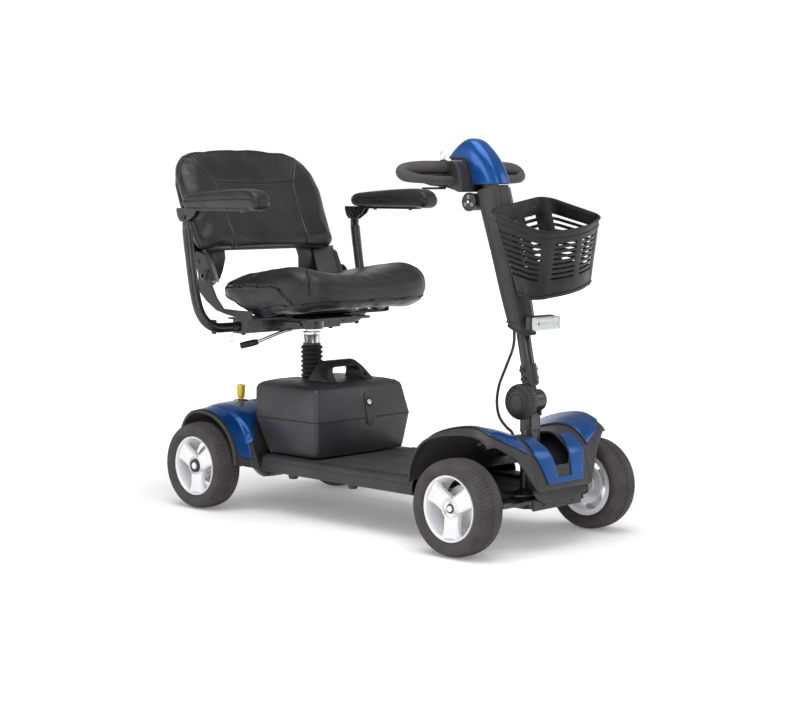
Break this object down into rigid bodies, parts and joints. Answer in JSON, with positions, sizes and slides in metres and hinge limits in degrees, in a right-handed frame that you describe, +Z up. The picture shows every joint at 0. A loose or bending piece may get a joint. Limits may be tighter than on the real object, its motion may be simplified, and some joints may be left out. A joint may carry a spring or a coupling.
{
  "type": "mobility scooter",
  "caption": "Four-wheel travel mobility scooter: steered tiller with basket, swivel seat with flip-up arms, lift-off battery box and covered chassis",
  "frame": {"origin": "on the ground below the centre of the bounding box", "axes": "+X towards the front wheels, +Y to the rider's left, +Z up"},
  "size_m": [1.1811, 0.626, 0.9151],
  "materials": {
    "grey_plastic": "moulded dark grey, fine grain",
    "case_plastic": "moulded dark grey, satin",
    "black_plastic": "moulded black, satin",
    "basket_plastic": "moulded black, semi-gloss",
    "grip_foam": "soft-touch dark grey",
    "blue_gloss": "metallic blue under clear lacquer",
    "black_steel": "black powder coat, satin",
    "silver_alloy": "silver lacquer",
    "chrome": "polished",
    "tyre_rubber": "solid dark grey rubber with fine lateral tread",
    "black_rubber": "matt black",
    "deck_rubber": "ribbed matt black",
    "vinyl": "black grained vinyl",
    "yellow_plastic": "moulded yellow",
    "clear_lens": "clear moulded lens"
  },
  "bodies": {
    "chassis": {"main_frame": "black_steel", "deck_cover": "grey_plastic", "deck_mat": "deck_rubber", "front_shroud": "grey_plastic", "front_u_insert": "blue_gloss", "front_fender_panel_left": "blue_gloss", "front_fender_panel_right": "blue_gloss", "bumper_bar": "grey_plastic", "rear_cover": "grey_plastic", "rear_panel_left": "blue_gloss", "rear_panel_right": "blue_gloss", "transaxle": "black_steel", "bellows": "black_rubber"},
    "battery_box": {"battery_tray": "case_plastic", "battery_cover": "case_plastic", "battery_pack": "black_plastic", "battery_handle": "black_plastic", "charge_port": "chrome"},
    "freewheel_lever": {"freewheel_lever": "yellow_plastic"},
    "steering": {"steering_stem": "black_steel"},
    "knuckle_left": {"steering_knuckle_left": "black_steel"},
    "knuckle_right": {"steering_knuckle_right": "black_steel"},
    "tie_rod_left": {"tie_rod_left": "black_steel"},
    "tie_rod_right": {"tie_rod_right": "black_steel"},
    "front_wheel_left": {"front_tyre_left": "tyre_rubber", "front_rim_left": "silver_alloy"},
    "front_wheel_right": {"front_tyre_right": "tyre_rubber", "front_rim_right": "silver_alloy"},
    "rear_wheel_left": {"rear_tyre_left": "tyre_rubber", "rear_rim_left": "silver_alloy"},
    "rear_wheel_right": {"rear_tyre_right": "tyre_rubber", "rear_rim_right": "silver_alloy"},
    "tiller": {"tiller_tube": "black_steel", "tiller_shroud": "grey_plastic", "tiller_cap": "blue_gloss", "handlebar": "grip_foam", "dash_panel": "black_plastic", "headlight_housing": "black_plastic", "headlight_lens": "clear_lens", "wiring_harness": "black_rubber"},
    "tilt_knob": {"tilt_knob": "black_plastic"},
    "speed_dial": {"speed_dial": "black_plastic"},
    "key": {"key": "chrome"},
    "horn_button": {"horn_button": "yellow_plastic"},
    "throttle_left": {"throttle_lever_left": "black_plastic"},
    "throttle_right": {"throttle_lever_right": "black_plastic"},
    "basket": {"basket": "basket_plastic"},
    "seat_post": {"seat_post": "chrome"},
    "seat": {"seat_bracket": "black_steel", "seat_pan": "black_plastic", "seat_cushion": "vinyl"},
    "backrest": {"back_shell": "black_plastic", "back_pad": "vinyl"},
    "arm_left": {"arm_tube_left": "black_steel"},
    "arm_right": {"arm_tube_right": "black_steel"},
    "arm_rest_left": {"arm_bracket_left": "black_steel", "arm_pad_left": "vinyl"},
    "arm_rest_right": {"arm_bracket_right": "black_steel", "arm_pad_right": "vinyl"},
    "swivel_lever": {"swivel_lever": "black_rubber"}
  },
  "joints": [
    {"name": "battery_lift", "type": "slide", "parent": "chassis", "child": "battery_box", "axis": [0, 0, 1], "range_m": [0, 0.05]},
    {"name": "freewheel_shift", "type": "hinge", "parent": "chassis", "child": "freewheel_lever", "pos_m": [-0.42875, -0.1, 0.182], "axis": [0, 1, 0], "range_deg": [0, 8]},
    {"name": "steering_turn", "type": "hinge", "parent": "chassis", "child": "steering", "pos_m": [0.46025, 0, 0.108], "axis": [0, 0, 1], "range_deg": [-28, 28]},
    {"name": "knuckle_left_turn", "type": "hinge", "parent": "chassis", "child": "knuckle_left", "pos_m": [0.45105, 0.162, 0.108], "axis": [0, 0, 1], "range_deg": [-28, 28]},
    {"name": "knuckle_right_turn", "type": "hinge", "parent": "chassis", "child": "knuckle_right", "pos_m": [0.45105, -0.162, 0.108], "axis": [0, 0, 1], "range_deg": [-28, 28]},
    {"name": "tie_rod_left_turn", "type": "hinge", "parent": "steering", "child": "tie_rod_left", "pos_m": [0.41025, 0.012, 0.0905], "axis": [0, 0, 1], "range_deg": [-28, 28]},
    {"name": "tie_rod_right_turn", "type": "hinge", "parent": "steering", "child": "tie_rod_right", "pos_m": [0.41025, -0.012, 0.0905], "axis": [0, 0, 1], "range_deg": [-28, 28]},
    {"name": "front_wheel_left_spin", "type": "hinge", "parent": "knuckle_left", "child": "front_wheel_left", "pos_m": [0.45105, 0.234, 0.108], "axis": [0, 1, 0], "continuous": true},
    {"name": "front_wheel_right_spin", "type": "hinge", "parent": "knuckle_right", "child": "front_wheel_right", "pos_m": [0.45105, -0.234, 0.108], "axis": [0, 1, 0], "continuous": true},
    {"name": "rear_wheel_left_spin", "type": "hinge", "parent": "chassis", "child": "rear_wheel_left", "pos_m": [-0.42055, 0.234, 0.108], "axis": [0, 1, 0], "continuous": true},
    {"name": "rear_wheel_right_spin", "type": "hinge", "parent": "chassis", "child": "rear_wheel_right", "pos_m": [-0.42055, -0.234, 0.108], "axis": [0, 1, 0], "continuous": true},
    {"name": "tiller_tilt", "type": "hinge", "parent": "steering", "child": "tiller", "pos_m": [0.46725, 0, 0.325], "axis": [0, 1, 0], "range_deg": [-15, 12], "deforming": ["wiring_harness"]},
    {"name": "tilt_knob_turn", "type": "hinge", "parent": "steering", "child": "tilt_knob", "pos_m": [0.46725, -0.04, 0.325], "axis": [0, 1, 0], "range_deg": [-90, 90]},
    {"name": "key_turn", "type": "hinge", "parent": "tiller", "child": "key", "pos_m": [0.23425, -0.052, 0.8643], "axis": [0, 0, 1], "range_deg": [0, 60]},
    {"name": "speed_dial_turn", "type": "hinge", "parent": "tiller", "child": "speed_dial", "pos_m": [0.19488, 0, 0.84847], "axis": [-0.6239, 0, 0.7815], "range_deg": [-135, 135]},
    {"name": "horn_press", "type": "slide", "parent": "tiller", "child": "horn_button", "axis": [0.6239, 0, -0.7815], "range_m": [0, 0.002], "stiffness_N_per_m": 300},
    {"name": "throttle_left_pull", "type": "hinge", "parent": "tiller", "child": "throttle_left", "pos_m": [0.25125, 0.0715, 0.801], "axis": [0, 0, 1], "range_deg": [-12, 12], "stiffness_Nm_per_rad": 0.3},
    {"name": "throttle_right_pull", "type": "hinge", "parent": "tiller", "child": "throttle_right", "pos_m": [0.25125, -0.0715, 0.801], "axis": [0, 0, 1], "range_deg": [-12, 12], "stiffness_Nm_per_rad": 0.3},
    {"name": "basket_lift", "type": "slide", "parent": "tiller", "child": "basket", "axis": [0, 0, 1], "range_m": [0, 0.04]},
    {"name": "seat_height", "type": "slide", "parent": "chassis", "child": "seat_post", "axis": [0, 0, 1], "range_m": [0, 0.05], "deforming": ["bellows"]},
    {"name": "seat_swivel", "type": "hinge", "parent": "seat_post", "child": "seat", "pos_m": [-0.26875, 0, 0.46], "axis": [0, 0, 1], "continuous": true},
    {"name": "backrest_fold", "type": "hinge", "parent": "seat", "child": "backrest", "pos_m": [-0.40515, 0, 0.5834], "axis": [0, 1, 0], "range_deg": [0, 70]},
    {"name": "arm_left_width", "type": "slide", "parent": "seat", "child": "arm_left", "axis": [0, 1, 0], "range_m": [0, 0.04]},
    {"name": "arm_right_width", "type": "slide", "parent": "seat", "child": "arm_right", "axis": [0, -1, 0], "range_m": [0, 0.04]},
    {"name": "arm_rest_left_flip", "type": "hinge", "parent": "arm_left", "child": "arm_rest_left", "pos_m": [-0.40875, 0.287, 0.729], "axis": [0, -1, 0], "range_deg": [0, 95]},
    {"name": "arm_rest_right_flip", "type": "hinge", "parent": "arm_right", "child": "arm_rest_right", "pos_m": [-0.40875, -0.287, 0.729], "axis": [0, -1, 0], "range_deg": [0, 95]},
    {"name": "swivel_lever_lift", "type": "hinge", "parent": "seat", "child": "swivel_lever", "pos_m": [-0.30675, -0.034, 0.444], "axis": [-0.8852, 0.4651, 0], "range_deg": [0, 8], "stiffness_Nm_per_rad": 0.5}
  ],
  "couplings": [
    {"joint": "knuckle_left_turn", "follows": "steering_turn", "ratio": 1},
    {"joint": "knuckle_right_turn", "follows": "steering_turn", "ratio": 1},
    {"joint": "tie_rod_left_turn", "follows": "steering_turn", "ratio": -1},
    {"joint": "tie_rod_right_turn", "follows": "steering_turn", "ratio": -1},
    {"joint": "throttle_left_pull", "follows": "throttle_right_pull", "ratio": 1}
  ]
}
